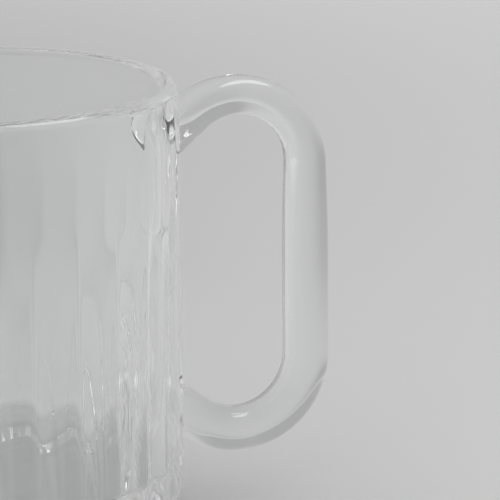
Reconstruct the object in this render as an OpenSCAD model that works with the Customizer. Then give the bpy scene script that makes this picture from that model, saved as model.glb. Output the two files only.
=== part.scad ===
/* [Body] */
// Outside diameter over the swell of the wall panels
body_d = 80; // [74:1:90]
// Height from the table to the rim
body_h = 79; // [76:1:90]
// Wall thickness just under the rim, measured from the plain band
rim_wall = 3.3; // [3:0.1:4]
// How much the inside radius shrinks from the rim to the floor
inner_draft = 2.5; // [1:0.1:3]
// Thickness of the heavy bottom under the floor
base_t = 12; // [10:0.5:15]
// Radius of the hollow where the inside wall turns into the floor
floor_fillet = 1; // [0.6:0.1:3]

/* [Rim] */
// Height of the plain band at the rim, above the panels
rim_band = 3.2; // [2.6:0.1:6]
// Radius on the outer side of the rim
rim_outer_r = 2; // [1.6:0.1:2.4]

/* [Foot] */
// Radius of the rounded heel
heel_r = 10; // [7:0.5:11]
// Radius of the shallow recess under the bottom
recess_r = 26; // [15:0.5:27]
// Depth of that recess
recess_h = 0.3; // [0.2:0.1:1.2]

/* [Panels] */
// Number of wall panels, and of the upright grooves between them
panel_count = 30; // [26:1:34]
// Swell radius of each panel, seen from above
panel_r = 24; // [20:1:30]

/* [Grooves] */
// Nose radius of each groove
groove_r = 1.6; // [1.2:0.1:2.2]
// Distance from the rim to the pointed top of each groove
groove_top = 19; // [12:1:28]
// Depth under the panel swell that a groove reaches where the heel begins
groove_depth = 0.6; // [0.4:0.05:0.8]

/* [Handle] */
// Thickness of the round handle in its bends
handle_d = 7.9; // [7.5:0.1:8.3]
// How much thicker the grip and the starts of the roots are than the bends
joint_swell = 0.14; // [0.1:0.02:0.3]
// Bend radius of the handle along its middle line
bend_r = 13.1; // [12:0.1:14]
// Distance from the axis of the body to the bend centres
bend_x = 52; // [51:0.1:53]
// Angle that each bend turns through between the grip and the straight root
bend_sweep = 128; // [124:1:132]
// Thickness that each root flares to, inside the wall
root_d = 12; // [10:0.5:13]
// Straight length of the grip between the two bends
grip_l = 34.6; // [30:0.2:38]
// Distance from the rim down to the top of the handle
handle_drop = 1.2; // [1:0.1:5]

/* [Hidden] */
$fn = 96;
// Step that keeps the plain bands just inside the valleys between the panels
band_step = 0.05;
// Length by which the grip and the roots reach into the bends
joint_reach = 0.6;
// Length of each root before the wall trims it
root_l = 14;
// Turn that keeps the start of the handle's outline off the plane of the loop
outline_turn = 37;
// Margin by which cutters pass the faces that they cut
over = 1;
pitch = 360 / panel_count;
body_r = body_d / 2;
valley_half_w = body_r * sin(pitch / 2);
valley_sag = pow(valley_half_w, 2) * (1 / panel_r - 1 / body_r) / 2;
band_r = body_r - valley_sag - band_step;
panel_top = body_h - rim_band;
inner_r = band_r - rim_wall;
inner_floor_r = inner_r - inner_draft;
rim_inner_r = rim_wall - rim_outer_r;
fillet_z = base_t + floor_fillet;
groove_run = body_h - groove_top - heel_r;
groove_tilt = atan(groove_depth / groove_run);
upper_bend_z = body_h - handle_drop - handle_d / 2 - bend_r;
lower_bend_z = upper_bend_z - grip_l;
joint_d = handle_d + joint_swell;
grip_z = lower_bend_z - joint_reach;

// Half section of the rim band, round at its outer edge
module rim_section() {
    translate([0, panel_top]) square([band_r - rim_outer_r, rim_band]);
    translate([0, panel_top]) square([band_r, rim_band - rim_outer_r]);
    translate([band_r - rim_outer_r, body_h - rim_outer_r]) circle(rim_outer_r);
}

// Half section of the foot with its round heel
module heel_section() {
    square([band_r - heel_r, heel_r]);
    intersection() {
        translate([band_r - heel_r, heel_r]) circle(heel_r);
        square([band_r, heel_r]);
    }
}

// Plan of the wall: swelling panels side by side, which meet in shallow valleys
module panel_plan() {
    for (i = [0 : panel_count - 1]) {
        rotate((i + 0.5) * pitch) translate([body_r - panel_r, 0]) circle(panel_r);
    }
}

// One groove: a round-nosed cut that starts at its pointed top and deepens downwards
module groove_cutter() {
    translate([body_r + groove_r, 0, body_h - groove_top])
        rotate([0, groove_tilt, 0])
            translate([0, 0, -body_h])
                cylinder(r = groove_r, h = body_h + groove_top);
}

// The outside of the body, grooved but not yet hollowed
module blank() {
    difference() {
        union() {
            rotate_extrude() rim_section();
            translate([0, 0, heel_r]) linear_extrude(panel_top - heel_r) panel_plan();
            rotate_extrude() heel_section();
        }
        for (i = [0 : panel_count - 1]) {
            rotate(i * pitch) groove_cutter();
        }
    }
}

// Half section of the drink's space, with a round floor corner and an eased inner rim
module hollow_section() {
    polygon([
        [0, fillet_z],
        [inner_floor_r, fillet_z],
        [inner_r, body_h - rim_inner_r],
        [inner_r, body_h + over],
        [0, body_h + over],
    ]);
    translate([0, base_t]) square([inner_floor_r - floor_fillet, floor_fillet]);
    translate([inner_floor_r - floor_fillet, fillet_z]) circle(floor_fillet);
    difference() {
        translate([inner_r, body_h - rim_inner_r]) square([rim_inner_r, rim_inner_r + over]);
        translate([inner_r + rim_inner_r, body_h - rim_inner_r]) circle(rim_inner_r);
    }
}

// One bend and the flared root that runs on from it into the wall
module bend_and_root() {
    rotate_extrude(angle = bend_sweep)
        translate([bend_r, 0])
            rotate(outline_turn)
                circle(d = handle_d);
    rotate(bend_sweep)
        translate([bend_r, -joint_reach, 0])
            rotate([-90, 0, 0])
                cylinder(d1 = joint_d, d2 = root_d, h = root_l);
}

// The pressed body: wall, heavy base and grooves in one piece of glass
module bowl() {
    color([0.86, 0.88, 0.88, 0.45])
        difference() {
            blank();
            rotate_extrude() hollow_section();
            translate([0, 0, -over]) cylinder(r = recess_r, h = recess_h + over);
        }
}

// The applied loop: a straight grip, two bends and two roots, trimmed to the wall that it is fused to
module handle() {
    color([0.80, 0.83, 0.83, 0.55])
        difference() {
            union() {
                translate([bend_x, 0, upper_bend_z]) rotate([90, 0, 0]) bend_and_root();
                translate([bend_x + bend_r, 0, grip_z])
                    cylinder(d = joint_d, h = grip_l + 2 * joint_reach);
                translate([bend_x, 0, lower_bend_z]) rotate([-90, 0, 0]) bend_and_root();
            }
            blank();
        }
}

bowl();
handle();
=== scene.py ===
"""A clear pressed-glass mug with a loop handle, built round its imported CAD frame."""

import math

import bpy
from mathutils import Matrix, Vector


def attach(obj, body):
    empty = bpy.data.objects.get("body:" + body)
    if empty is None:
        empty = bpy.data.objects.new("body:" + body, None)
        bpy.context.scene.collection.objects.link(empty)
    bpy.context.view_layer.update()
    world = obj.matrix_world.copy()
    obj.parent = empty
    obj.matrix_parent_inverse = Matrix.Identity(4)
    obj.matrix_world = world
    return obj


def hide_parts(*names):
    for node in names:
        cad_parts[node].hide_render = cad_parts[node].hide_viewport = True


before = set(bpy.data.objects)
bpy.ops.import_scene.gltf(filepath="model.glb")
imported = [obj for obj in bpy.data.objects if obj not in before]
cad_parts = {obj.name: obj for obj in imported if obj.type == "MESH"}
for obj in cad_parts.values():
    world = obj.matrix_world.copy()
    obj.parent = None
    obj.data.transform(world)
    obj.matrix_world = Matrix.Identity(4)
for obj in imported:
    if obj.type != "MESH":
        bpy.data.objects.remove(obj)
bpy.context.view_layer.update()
scene = bpy.context.scene

MM = 0.001

# Sizes of the glass: lengths in millimetres, angles in radians, counts and shares as they are.
BOWL_SIZES = {
    "Body radius": 39.9,
    "Height": 79.0,
    "Rim band radius": 39.6,
    "Rim band height": 3.0,
    "Shoulder": 5.0,
    "Shoulder round": 40.0,
    "Rim outer round": 1.7,
    "Rim inner round": 1.3,
    "Mouth radius": 36.5,
    "Floor corner radius": 34.0,
    "Floor height": 12.0,
    "Floor round": 1.0,
    "Heel round": 10.0,
    "Recess radius": 8.0,
    "Recess slope": 18.0,
    "Recess height": 0.3,
    "Recess round": 400.0,
    "Panels": 30,
    "Columns per panel": 18,
    "Groove top": 60.0,
    "Panel swell growth": 0.00134,
    "Groove spread": 0.18,
    "Fine step": 1.0,
    "Coarse step": 8.0,
    "Corner steps": 10,
}
HANDLE_SIZES = {
    "Bend centre": 52.0,
    "Bend radius": 13.05,
    "Upper bend height": 60.7,
    "Grip length": 34.6,
    "Bend sweep": math.radians(128.0),
    "Root reach": 40.0,
    "Half thickness": 3.98,
    "Half width": 3.95,
    "Squareness": 2.5,
    "Top thinning": 0.13,
    "Thinning start": 45.0,
    "Thinning end": 72.0,
    "Root spread": 0.6,
    "Spread start": 54.0,
    "Spread end": 40.0,
    "Bend steps": 44,
    "Path step": 0.9,
    "Section points": 120,
}

# What counts as wall or outside: margins inside the body's radius and the mouth's radius.
WALL_MARGIN = 0.1
OUTSIDE_MARGIN = 8.0
# How steeply the section climbs where the grooves start and where they are pressed in fully.
PRESS_START = 0.25
PRESS_FULL = 0.9
LEAST_GROOVE_WIDTH = 0.01
# How strongly the columns of the wall crowd towards the grooves.
COLUMN_CROWDING = 0.55
# A mesh grid of size 1 runs from minus this to plus this.
GRID_HALF = 0.5

# The weld: the roots of the handle reach into the wall as far as this core.
WELD_CORE_RADIUS = 38.2
WELD_CORE_LENGTH = 400.0
WELD_CORE_POINTS = 256
MERGE_DISTANCE = 0.0005

# The glass: its faint ripples, per metre along X, Y and Z, and its slightly uneven gloss.
GLASS_COLOUR = (0.975, 0.98, 0.98, 1.0)
GLASS_IOR = 1.52
BODY_RIPPLES = (140.0, 140.0, 25.0)
HANDLE_RIPPLES = (60.0, 60.0, 60.0)
RIPPLE_DEPTH = 0.00001
RIPPLE_DETAIL = 2.0
RIPPLE_ROUGHNESS = 0.4
HAZE_SCALE = 60.0
HAZE_DETAIL = 3.0
HAZE_ROUGHNESS = 0.5
HAZE_STRENGTH = 0.012

# How often light may turn inside the thick glass.
GLASS_BOUNCES = 32

# Where the camera stood, from a fit of the outlines, in millimetres and radians.
CAMERA_DISTANCE = 519.15
CAMERA_HEIGHT = 170.46
CAMERA_TURN = math.radians(-13.3)
CAMERA_HEADING = 0.0997
CAMERA_PITCH = 0.2297
CAMERA_ROLL = -0.0081
FOCAL_PIXELS = 3091.78
PICTURE_PIXELS = 500
SENSOR = 36.0
NEAREST_VIEW = 0.01
FARTHEST_VIEW = 50.0

# The table, in metres: a pale, even tone with soft round patches of painted light and painted
# shade.
# They are painted shade in front, where the light falls off towards the camera; a painted shadow
# of the mug behind it;
# painted shade towards the left behind it; painted pools of light to the right; and painted light
# under the foot.
# Each patch has its middle (x, y), half width and fade, and its change of tone.
TABLE_REACH = 4.0
TABLE_DROP = 0.0002
TABLE_ROUGHNESS = 0.6
TABLE_GLOSS = 0.2
TABLE_TONE = 0.61
PAINTED_TABLE_LIGHT_AND_SHADE = (
    (-0.05, -0.42, 0.2, 0.26, -0.2),
    (0.25, -0.09, 0.05, 0.14, 0.12),
    (0.29, 0.19, 0.03, 0.06, 0.1),
    (-0.02, 0.22, 0.03, 0.12, -0.1),
    (-0.2, 0.45, 0.15, 0.45, -0.18),
    (0.0, 0.0, 0.03, 0.012, 0.3),
)

# The studio: an even light for the table, and the room that the camera and the glass see.
# The room has an even tone with soft patches. Each patch has its turn from +X, its height
# above the horizon, half width and fade, all in degrees, and its change of tone.
ROOM_LIGHT = 1.0
ROOM_TONE = 0.6
ROOM_PATCHES = (
    (96.0, 12.0, 14.0, 24.0, -0.2),
    (252.0, 30.0, 20.0, 32.0, -0.25),
    (340.0, 22.0, 25.0, 35.0, 0.15),
    (350.0, 62.0, 12.0, 6.0, 4.0),
)
# A ray with a diffuse depth under this has not met a matt surface yet.
BEFORE_MATT = 0.5


class Wire:
    """A socket that Python's operators work on; each operation adds a Math node to its tree."""

    def __init__(self, bench, socket):
        self.bench = bench
        self.socket = socket

    def out(self, name):
        """Another output of the same node."""
        return Wire(self.bench, self.socket.node.outputs[name])

    def maths(self, operation, *others):
        return self.bench.maths(operation, self, *others)

    def __add__(self, other):
        return self.bench.maths("ADD", self, other)

    def __sub__(self, other):
        return self.bench.maths("SUBTRACT", self, other)

    def __rsub__(self, other):
        return self.bench.maths("SUBTRACT", other, self)

    def __mul__(self, other):
        return self.bench.maths("MULTIPLY", self, other)

    def __truediv__(self, other):
        return self.bench.maths("DIVIDE", self, other)

    def __rtruediv__(self, other):
        return self.bench.maths("DIVIDE", other, self)

    def __pow__(self, other):
        return self.bench.maths("POWER", self, other)

    __radd__ = __add__
    __rmul__ = __mul__


class Bench:
    """A node tree to which nodes are added."""

    def __init__(self, tree):
        self.tree = tree

    def node(self, kind, settings=None, values=None):
        """Adds a node, sets its settings and then its sockets, and gives its first output."""
        node = self.tree.nodes.new(kind)
        for name, value in (settings or {}).items():
            if name == "items":
                while len(node.index_switch_items) < value:
                    node.index_switch_items.new()
            else:
                setattr(node, name, value)
        for key, value in (values or {}).items():
            for one in value if isinstance(value, list) else [value]:
                if isinstance(one, Wire):
                    self.tree.links.new(one.socket, node.inputs[key])
                else:
                    node.inputs[key].default_value = one
        return Wire(self, next((s for s in node.outputs if s.enabled), None))

    def maths(self, operation, *terms):
        return self.node("ShaderNodeMath", {"operation": operation}, dict(enumerate(terms)))

    def vector(self, x, y, z):
        return self.node("ShaderNodeCombineXYZ", None, {"X": x, "Y": y, "Z": z})

    def parts(self, vector):
        """The X, Y and Z of a vector."""
        split = self.node("ShaderNodeSeparateXYZ", None, {"Vector": vector})
        return split, split.out("Y"), split.out("Z")

    def pick(self, data_type, index, choices):
        """The choice that an index names."""
        values = {"Index": index}
        values.update({str(i): choice for i, choice in enumerate(choices)})
        settings = {"data_type": data_type, "items": len(choices)}
        return self.node("GeometryNodeIndexSwitch", settings, values)

    def eased(self, value, start, end):
        """How far a value has come from a start to an end, from 0 to 1, with soft ends."""
        return self.node(
            "ShaderNodeMapRange",
            {"interpolation_type": "SMOOTHSTEP"},
            {"Value": value, "From Min": start, "From Max": end, "To Min": 0.0, "To Max": 1.0},
        )

    def measured(self, operation, first, second):
        """A number worked out from two vectors."""
        both = {0: first, 1: second}
        return self.node("ShaderNodeVectorMath", {"operation": operation}, both).out("Value")


def geometry_bench(name, inputs):
    """A Geometry Nodes tree with named inputs, and the wires that they come in on."""
    tree = bpy.data.node_groups.new(name, "GeometryNodeTree")
    kinds = {int: "NodeSocketInt", float: "NodeSocketFloat"}
    for label, value in inputs.items():
        kind = kinds.get(type(value), "NodeSocketMaterial")
        socket = tree.interface.new_socket(label, in_out="INPUT", socket_type=kind)
        socket.default_value = value
    tree.interface.new_socket("Geometry", in_out="OUTPUT", socket_type="NodeSocketGeometry")
    bench = Bench(tree)
    entry = tree.nodes.new("NodeGroupInput")
    return bench, {label: Wire(bench, entry.outputs[label]) for label in inputs}


def close_tree(bench, geometry, material, selection=True):
    """Ends a tree: real geometry, and a material on the faces selected."""
    real = bench.node("GeometryNodeRealizeInstances", None, {"Geometry": geometry})
    done = with_material(bench, real, material, selection)
    bench.node("NodeGroupOutput", None, {"Geometry": done})
    return bench.tree


def with_material(bench, geometry, material, selection=True):
    return bench.node(
        "GeometryNodeSetMaterial",
        None,
        {"Geometry": geometry, "Selection": selection, "Material": material},
    )


def merged(bench, geometry):
    """Joins the points of a mesh that lie on each other."""
    return bench.node(
        "GeometryNodeMergeByDistance", None, {"Geometry": geometry, "Distance": MERGE_DISTANCE}
    )


def rounded_path(bench, corners, radii, steps):
    """A curve through corner points, each with its own rounding."""
    index = bench.node("GeometryNodeInputIndex")
    points = bench.node(
        "GeometryNodePoints",
        None,
        {"Count": len(corners), "Position": bench.pick("VECTOR", index, corners)},
    )
    line = bench.node("GeometryNodePointsToCurves", None, {"Points": points})
    return bench.node(
        "GeometryNodeFilletCurve",
        {"mode": "POLY"},
        {"Curve": line, "Count": steps, "Radius": bench.pick("FLOAT", index, radii)},
    )


def divided_path(bench, path, step):
    """A curve cut up so that no stretch is much longer than a step."""
    here = bench.node("GeometryNodeInputPosition")
    there = bench.node(
        "GeometryNodeFieldAtIndex",
        {"data_type": "FLOAT_VECTOR", "domain": "POINT"},
        {"Value": here, "Index": bench.node("GeometryNodeInputIndex") + 1.0},
    )
    cuts = (bench.measured("DISTANCE", here, there) / step).maths("FLOOR")
    return bench.node("GeometryNodeSubdivideCurve", None, {"Curve": path, "Cuts": cuts})


def bowl_profile(bench, size):
    """Half section of the bowl, from the middle of the underside to the middle of the floor."""
    body = size["Body radius"]
    top = size["Height"]
    band = size["Rim band radius"]
    band_foot = top - size["Rim band height"]
    recess = size["Recess radius"]
    corners = [
        bench.vector(0.0, 0.0, size["Recess height"]),
        bench.vector(recess, 0.0, size["Recess height"]),
        bench.vector(recess + size["Recess slope"], 0.0, 0.0),
        bench.vector(body, 0.0, 0.0),
        bench.vector(body, 0.0, band_foot - size["Shoulder"]),
        bench.vector(band, 0.0, band_foot),
        bench.vector(band, 0.0, top),
        bench.vector(size["Mouth radius"], 0.0, top),
        bench.vector(size["Floor corner radius"], 0.0, size["Floor height"]),
        bench.vector(0.0, 0.0, size["Floor height"]),
    ]
    radii = [
        0.0,
        size["Recess round"],
        size["Recess round"],
        size["Heel round"],
        size["Shoulder round"],
        size["Shoulder round"],
        size["Rim outer round"],
        size["Rim inner round"],
        size["Floor round"],
        0.0,
    ]
    path = rounded_path(bench, corners, radii, size["Corner steps"])
    radius, _, _ = bench.parts(bench.node("GeometryNodeInputPosition"))
    on_wall = bench.maths("GREATER_THAN", radius, body - WALL_MARGIN)
    step = size["Coarse step"] + on_wall * (size["Fine step"] - size["Coarse step"])
    return divided_path(bench, path, step)


def groove_depth(bench, size, turn, height):
    """How far the wall lies inside the plain cylinder.

    The panels swell, with pointed grooves between them.
    """
    half = size["Body radius"] * math.pi / size["Panels"]
    share = (turn * size["Panels"] + 0.5).maths("FRACT") - 0.5
    from_groove = share.maths("ABSOLUTE") * half * 2.0
    below = (size["Groove top"] - height).maths("MAXIMUM", 0.0)
    swell = below * size["Panel swell growth"]
    spread = below.maths("SQRT") * size["Groove spread"]
    width = spread.maths("MAXIMUM", LEAST_GROOVE_WIDTH)
    panel = swell * (half - from_groove) ** 2.0
    edge = half - width
    share_in = from_groove / width
    groove = swell * edge * (edge + width * (1.0 - share_in * share_in))
    inside = bench.maths("LESS_THAN", from_groove, width)
    return panel + inside * (groove - panel)


def bowl_tree(material):
    """Turns the bowl's half section round the axis and presses the grooves into it."""
    bench, size = geometry_bench("pressed bowl", {**BOWL_SIZES, "Glass": material})
    profile = bowl_profile(bench, size)
    rows = bench.node(
        "GeometryNodeAttributeDomainSize", {"component": "CURVE"}, {"Geometry": profile}
    )
    columns = size["Panels"] * size["Columns per panel"]
    grid = bench.node(
        "GeometryNodeMeshGrid",
        None,
        {"Size X": 1.0, "Size Y": 1.0, "Vertices X": columns + 1.0, "Vertices Y": rows},
    )
    across, along, _ = bench.parts(bench.node("GeometryNodeInputPosition"))
    even_turn = across + GRID_HALF
    wave = (even_turn * size["Panels"] * math.tau).maths("SINE")
    turn = even_turn - wave * COLUMN_CROWDING / (size["Panels"] * math.tau)
    row = ((along + GRID_HALF) * (rows - 1.0)).maths("ROUND")

    def on_profile(field):
        return bench.parts(
            bench.node(
                "GeometryNodeSampleIndex",
                {"data_type": "FLOAT_VECTOR", "domain": "POINT"},
                {"Geometry": profile, "Value": bench.node(field), "Index": row},
            )
        )

    radius, _, height = on_profile("GeometryNodeInputPosition")
    run_out, _, run_up = on_profile("GeometryNodeInputTangent")
    facing = bench.eased(run_up, PRESS_START, PRESS_FULL)
    on_outside = bench.maths("GREATER_THAN", radius, size["Mouth radius"] - OUTSIDE_MARGIN)
    depth = groove_depth(bench, size, turn, height) * facing * on_outside
    pressed_radius = radius - depth * run_up
    pressed_height = height + depth * run_out
    angle = turn * math.tau
    east = pressed_radius * angle.maths("COSINE")
    north = pressed_radius * angle.maths("SINE")
    place = bench.vector(east, north, pressed_height)
    shaped = bench.node("GeometryNodeSetPosition", None, {"Geometry": grid, "Position": place})
    return close_tree(bench, merged(bench, shaped), size["Glass"])


def handle_path(bench, size):
    """Middle line of the loop: a straight grip, two bends and the ends that enter the wall."""
    grip = size["Bend centre"] + size["Bend radius"]
    sweep = size["Bend sweep"]
    lift = size["Bend radius"] * (sweep * 0.5).maths("TANGENT")
    upper = size["Upper bend height"] + lift
    lower = size["Upper bend height"] - size["Grip length"] - lift
    inwards = size["Root reach"] * sweep.maths("SINE")
    fall = size["Root reach"] * sweep.maths("COSINE")
    corners = [
        bench.vector(grip - inwards, 0.0, upper + fall),
        bench.vector(grip, 0.0, upper),
        bench.vector(grip, 0.0, lower),
        bench.vector(grip - inwards, 0.0, lower - fall),
    ]
    radii = [0.0, size["Bend radius"], size["Bend radius"], 0.0]
    path = rounded_path(bench, corners, radii, size["Bend steps"])
    fine = divided_path(bench, path, size["Path step"])
    return bench.node(
        "GeometryNodeSetCurveNormal", {"mode": "FREE"}, {"Curve": fine, "Normal": (0.0, 1.0, 0.0)}
    )


def handle_section(bench, size):
    """Section of the handle: a slightly squared round bar, its width along X."""
    ring = bench.node(
        "GeometryNodeCurvePrimitiveCircle",
        None,
        {"Resolution": size["Section points"], "Radius": 1.0},
    )
    across, up, _ = bench.parts(bench.node("GeometryNodeInputPosition"))
    power = 2.0 / size["Squareness"]

    def squared(value):
        return value.maths("ABSOLUTE") ** power * value.maths("SIGN")

    wide = squared(across) * size["Half width"]
    thick = squared(up) * size["Half thickness"]
    outline = bench.vector(wide, thick, 0.0)
    return bench.node("GeometryNodeSetPosition", None, {"Geometry": ring, "Position": outline})


def handle_tree(material):
    """Draws the section along the loop, thinner at the top and wider where it enters the wall."""
    bench, size = geometry_bench("loop handle", {**HANDLE_SIZES, "Glass": material})
    path = handle_path(bench, size)
    out, side, height = bench.parts(bench.node("GeometryNodeInputPosition"))
    high = bench.eased(height, size["Thinning start"], size["Thinning end"])
    bar = bench.node(
        "GeometryNodeCurveToMesh",
        None,
        {
            "Curve": path,
            "Profile Curve": handle_section(bench, size),
            "Scale": 1.0 - high * size["Top thinning"],
            "Fill Caps": True,
        },
    )
    near_wall = bench.eased(out, size["Spread start"], size["Spread end"])
    place = bench.vector(out, side * (near_wall * size["Root spread"] + 1.0), height)
    rooted = bench.node("GeometryNodeSetPosition", None, {"Geometry": bar, "Position": place})
    return close_tree(bench, rooted, size["Glass"])


def weld_tree(name, bowl, handle, glass, weld, gives_handle):
    """Fits the two pieces of glass together along the line where they are fused.

    Each piece is a closed shell. The faces of the weld, which the other piece covers, get a
    clear material.
    """
    bench, inputs = geometry_bench(name, {"Body glass": glass, "Weld": weld})
    raw_bowl = bench.node("GeometryNodeGroup", {"node_tree": bowl})
    raw_handle = bench.node("GeometryNodeGroup", {"node_tree": handle})
    core = bench.node(
        "GeometryNodeMeshCylinder",
        None,
        {"Vertices": WELD_CORE_POINTS, "Radius": WELD_CORE_RADIUS, "Depth": WELD_CORE_LENGTH},
    )

    def cut(operation, first, second):
        pair = {"Mesh 1": first, "Mesh 2": second}
        if operation == "INTERSECT":
            pair = {"Mesh 2": [first, second]}
        return bench.node(
            "GeometryNodeMeshBoolean", {"operation": operation, "solver": "EXACT"}, pair
        )

    def made_of(material):
        return bench.node(
            "GeometryNodeMaterialSelection", None, {"Material": inputs[material]}
        )

    def body_faces(geometry):
        return bench.node(
            "GeometryNodeSeparateGeometry",
            {"domain": "FACE"},
            {"Geometry": geometry, "Selection": made_of("Body glass")},
        )

    root = cut("DIFFERENCE", raw_handle, core)
    if gives_handle:
        fitted = cut("DIFFERENCE", root, raw_bowl)
        in_weld = made_of("Body glass")
    else:
        wall = body_faces(cut("DIFFERENCE", raw_bowl, root))
        covered = body_faces(cut("INTERSECT", raw_bowl, root))
        footprint = with_material(bench, covered, inputs["Weld"])
        fitted = bench.node("GeometryNodeJoinGeometry", None, {"Geometry": [wall, footprint]})
        in_weld = made_of("Weld")
    smooth = bench.node("GeometryNodeSetShadeSmooth", None, {"Geometry": merged(bench, fitted)})
    metres = bench.node(
        "GeometryNodeTransform", None, {"Geometry": smooth, "Scale": (MM, MM, MM)}
    )
    return close_tree(bench, metres, inputs["Weld"], in_weld)


def made_piece(name, tree, inputs):
    """Runs a tree once and keeps its result as a plain mesh."""
    piece = bpy.data.objects.new(name, bpy.data.meshes.new(name + "_start"))
    scene.collection.objects.link(piece)
    modifier = piece.modifiers.new("shape", "NODES")
    modifier.node_group = tree
    for item in tree.interface.items_tree:
        if item.in_out == "INPUT":
            modifier[item.identifier] = inputs[item.name]
    bpy.context.view_layer.update()
    graph = bpy.context.evaluated_depsgraph_get()
    made = bpy.data.meshes.new_from_object(
        piece.evaluated_get(graph), preserve_all_data_layers=True, depsgraph=graph
    )
    piece.modifiers.remove(modifier)
    made.name = name
    piece.data = made
    return piece


def shader_bench(owner):
    """The emptied node tree of a new material or world."""
    owner.use_nodes = True
    owner.node_tree.nodes.clear()
    return Bench(owner.node_tree)


def clear_glass(name, ripples):
    """Clear, fire-polished pressed glass, with faint ripples and a slightly uneven gloss."""
    material = bpy.data.materials.new(name)
    bench = shader_bench(material)
    place = bench.node("ShaderNodeTexCoord").out("Object")
    flow = bench.node("ShaderNodeMapping", None, {"Vector": place, "Scale": ripples})

    def noise(vector, scale, detail, roughness):
        return bench.node(
            "ShaderNodeTexNoise",
            None,
            {"Vector": vector, "Scale": scale, "Detail": detail, "Roughness": roughness},
        )

    ripple = noise(flow, 1.0, RIPPLE_DETAIL, RIPPLE_ROUGHNESS)
    haze = noise(place, HAZE_SCALE, HAZE_DETAIL, HAZE_ROUGHNESS)
    bump = bench.node(
        "ShaderNodeBump", None, {"Strength": 1.0, "Distance": RIPPLE_DEPTH, "Height": ripple}
    )
    glass = bench.node(
        "ShaderNodeBsdfPrincipled",
        None,
        {
            "Base Color": GLASS_COLOUR,
            "Roughness": haze * HAZE_STRENGTH,
            "IOR": GLASS_IOR,
            "Transmission Weight": 1.0,
            "Normal": bump,
        },
    )
    bench.node("ShaderNodeOutputMaterial", None, {"Surface": glass})
    return material


def weld_material(name):
    """The inside of the fused joint, where there is no surface to see."""
    material = bpy.data.materials.new(name)
    bench = shader_bench(material)
    clear = bench.node("ShaderNodeBsdfPrincipled", None, {"Alpha": 0.0})
    bench.node("ShaderNodeOutputMaterial", None, {"Surface": clear})
    return material


def make_glass():
    """The two pieces of the mug, each in the place of its CAD node."""
    body_glass = clear_glass("pressed_body_glass", BODY_RIPPLES)
    handle_glass = clear_glass("polished_handle_glass", HANDLE_RIPPLES)
    weld = weld_material("fused_joint")
    shapes = bowl_tree(body_glass), handle_tree(handle_glass)
    for node, slot in (("bowl", "body_glass"), ("handle", "handle_glass")):
        tree = weld_tree(node + " fitted", *shapes, body_glass, weld, node == "handle")
        piece = made_piece("glass_" + node, tree, {"Body glass": body_glass, "Weld": weld})
        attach(piece, "root")
        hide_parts(node)


def make_camera():
    """The camera, placed as the fit of the outlines gives it."""
    data = bpy.data.cameras.new("camera")
    data.sensor_width = SENSOR
    data.lens = SENSOR * FOCAL_PIXELS / PICTURE_PIXELS
    data.clip_start = NEAREST_VIEW
    data.clip_end = FARTHEST_VIEW
    camera = bpy.data.objects.new("camera", data)
    scene.collection.objects.link(camera)
    turn = Matrix.Rotation(CAMERA_TURN, 3, "Z")
    place = turn @ Vector((0.0, -CAMERA_DISTANCE, CAMERA_HEIGHT)) * MM
    level = math.cos(CAMERA_PITCH)
    ahead = turn @ Vector(
        (
            math.sin(CAMERA_HEADING) * level,
            math.cos(CAMERA_HEADING) * level,
            -math.sin(CAMERA_PITCH),
        )
    )
    right = turn @ Vector((math.cos(CAMERA_HEADING), -math.sin(CAMERA_HEADING), 0.0))
    up = right.cross(ahead)
    tilted_right = right * math.cos(CAMERA_ROLL) + up * math.sin(CAMERA_ROLL)
    tilted_up = up * math.cos(CAMERA_ROLL) - right * math.sin(CAMERA_ROLL)
    axes = Matrix((tilted_right, tilted_up, -ahead)).transposed()
    camera.matrix_world = Matrix.Translation(place) @ axes.to_4x4()
    scene.camera = camera


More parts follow.
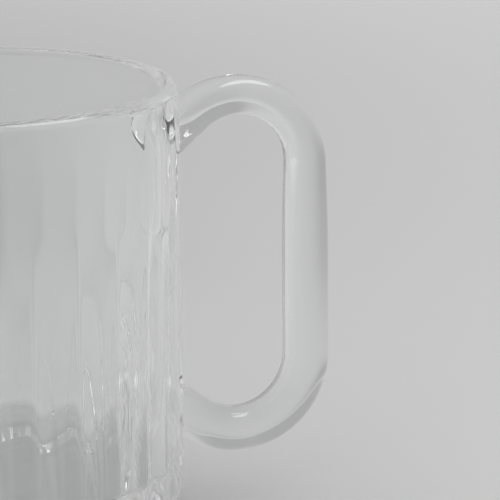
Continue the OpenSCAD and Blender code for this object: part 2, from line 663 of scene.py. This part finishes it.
def make_table():
    """A wide pale table top, a hair under the foot so that the two do not share a face, with
    pools of painted light and painted shade in its colour.
    """
    mesh = bpy.data.meshes.new("floor")
    signs = ((-1, -1), (1, -1), (1, 1), (-1, 1))
    corners = [(x * TABLE_REACH, y * TABLE_REACH, 0.0) for x, y in signs]
    mesh.from_pydata(corners, [], [(0, 1, 2, 3)])
    floor = bpy.data.objects.new("floor", mesh)
    scene.collection.objects.link(floor)
    floor.location.z = -TABLE_DROP
    material = bpy.data.materials.new("pale_table_painted_light_and_shade")
    bench = shader_bench(material)
    place = bench.node("ShaderNodeTexCoord").out("Object")
    tone = TABLE_TONE
    # Painted light and painted shade: each patch lightens or darkens the table's colour round its
    # middle.
    for x, y, half_width, fade, change in PAINTED_TABLE_LIGHT_AND_SHADE:
        away = bench.measured("DISTANCE", place, (x, y, 0.0))
        tone = bench.eased(away, half_width + fade, half_width) * change + tone
    surface = bench.node(
        "ShaderNodeBsdfPrincipled",
        None,
        {
            "Base Color": bench.vector(tone, tone, tone),
            "Roughness": TABLE_ROUGHNESS,
            "Specular IOR Level": TABLE_GLOSS,
        },
    )
    bench.node("ShaderNodeOutputMaterial", None, {"Surface": surface})
    mesh.materials.append(material)


def make_room():
    """The room: even light on the table, and soft patches for the camera and the glass to see."""
    scene.world = bpy.data.worlds.new("studio")
    bench = shader_bench(scene.world)
    towards = bench.node("ShaderNodeTexCoord").out("Generated")
    tone = ROOM_TONE
    for turn, lift, half_width, fade, change in ROOM_PATCHES:
        turn, lift = math.radians(turn), math.radians(lift)
        level = math.cos(lift)
        middle = (math.cos(turn) * level, math.sin(turn) * level, math.sin(lift))
        along = bench.measured("DOT_PRODUCT", towards, middle)
        outer = math.cos(math.radians(half_width + fade))
        inner = math.cos(math.radians(half_width))
        tone = bench.eased(along, outer, inner) * change + tone
    from_camera = bench.node("ShaderNodeLightPath")
    glossy = from_camera.out("Is Glossy Ray")
    through_glass = from_camera.out("Is Transmission Ray")
    not_matt = from_camera.out("Diffuse Depth").maths("LESS_THAN", BEFORE_MATT)
    seen = from_camera.maths("MAXIMUM", glossy.maths("MAXIMUM", through_glass)) * not_matt
    shown = seen * (tone - ROOM_LIGHT) + ROOM_LIGHT
    light = bench.node(
        "ShaderNodeBackground",
        None,
        {"Color": bench.vector(shown, shown, shown), "Strength": 1.0},
    )
    bench.node("ShaderNodeOutputWorld", None, {"Surface": light})


scene.view_settings.view_transform = "Standard"
scene.cycles.max_bounces = GLASS_BOUNCES
scene.cycles.glossy_bounces = GLASS_BOUNCES
scene.cycles.transmission_bounces = GLASS_BOUNCES
scene.cycles.transparent_max_bounces = GLASS_BOUNCES
make_camera()
make_glass()
make_table()
make_room()
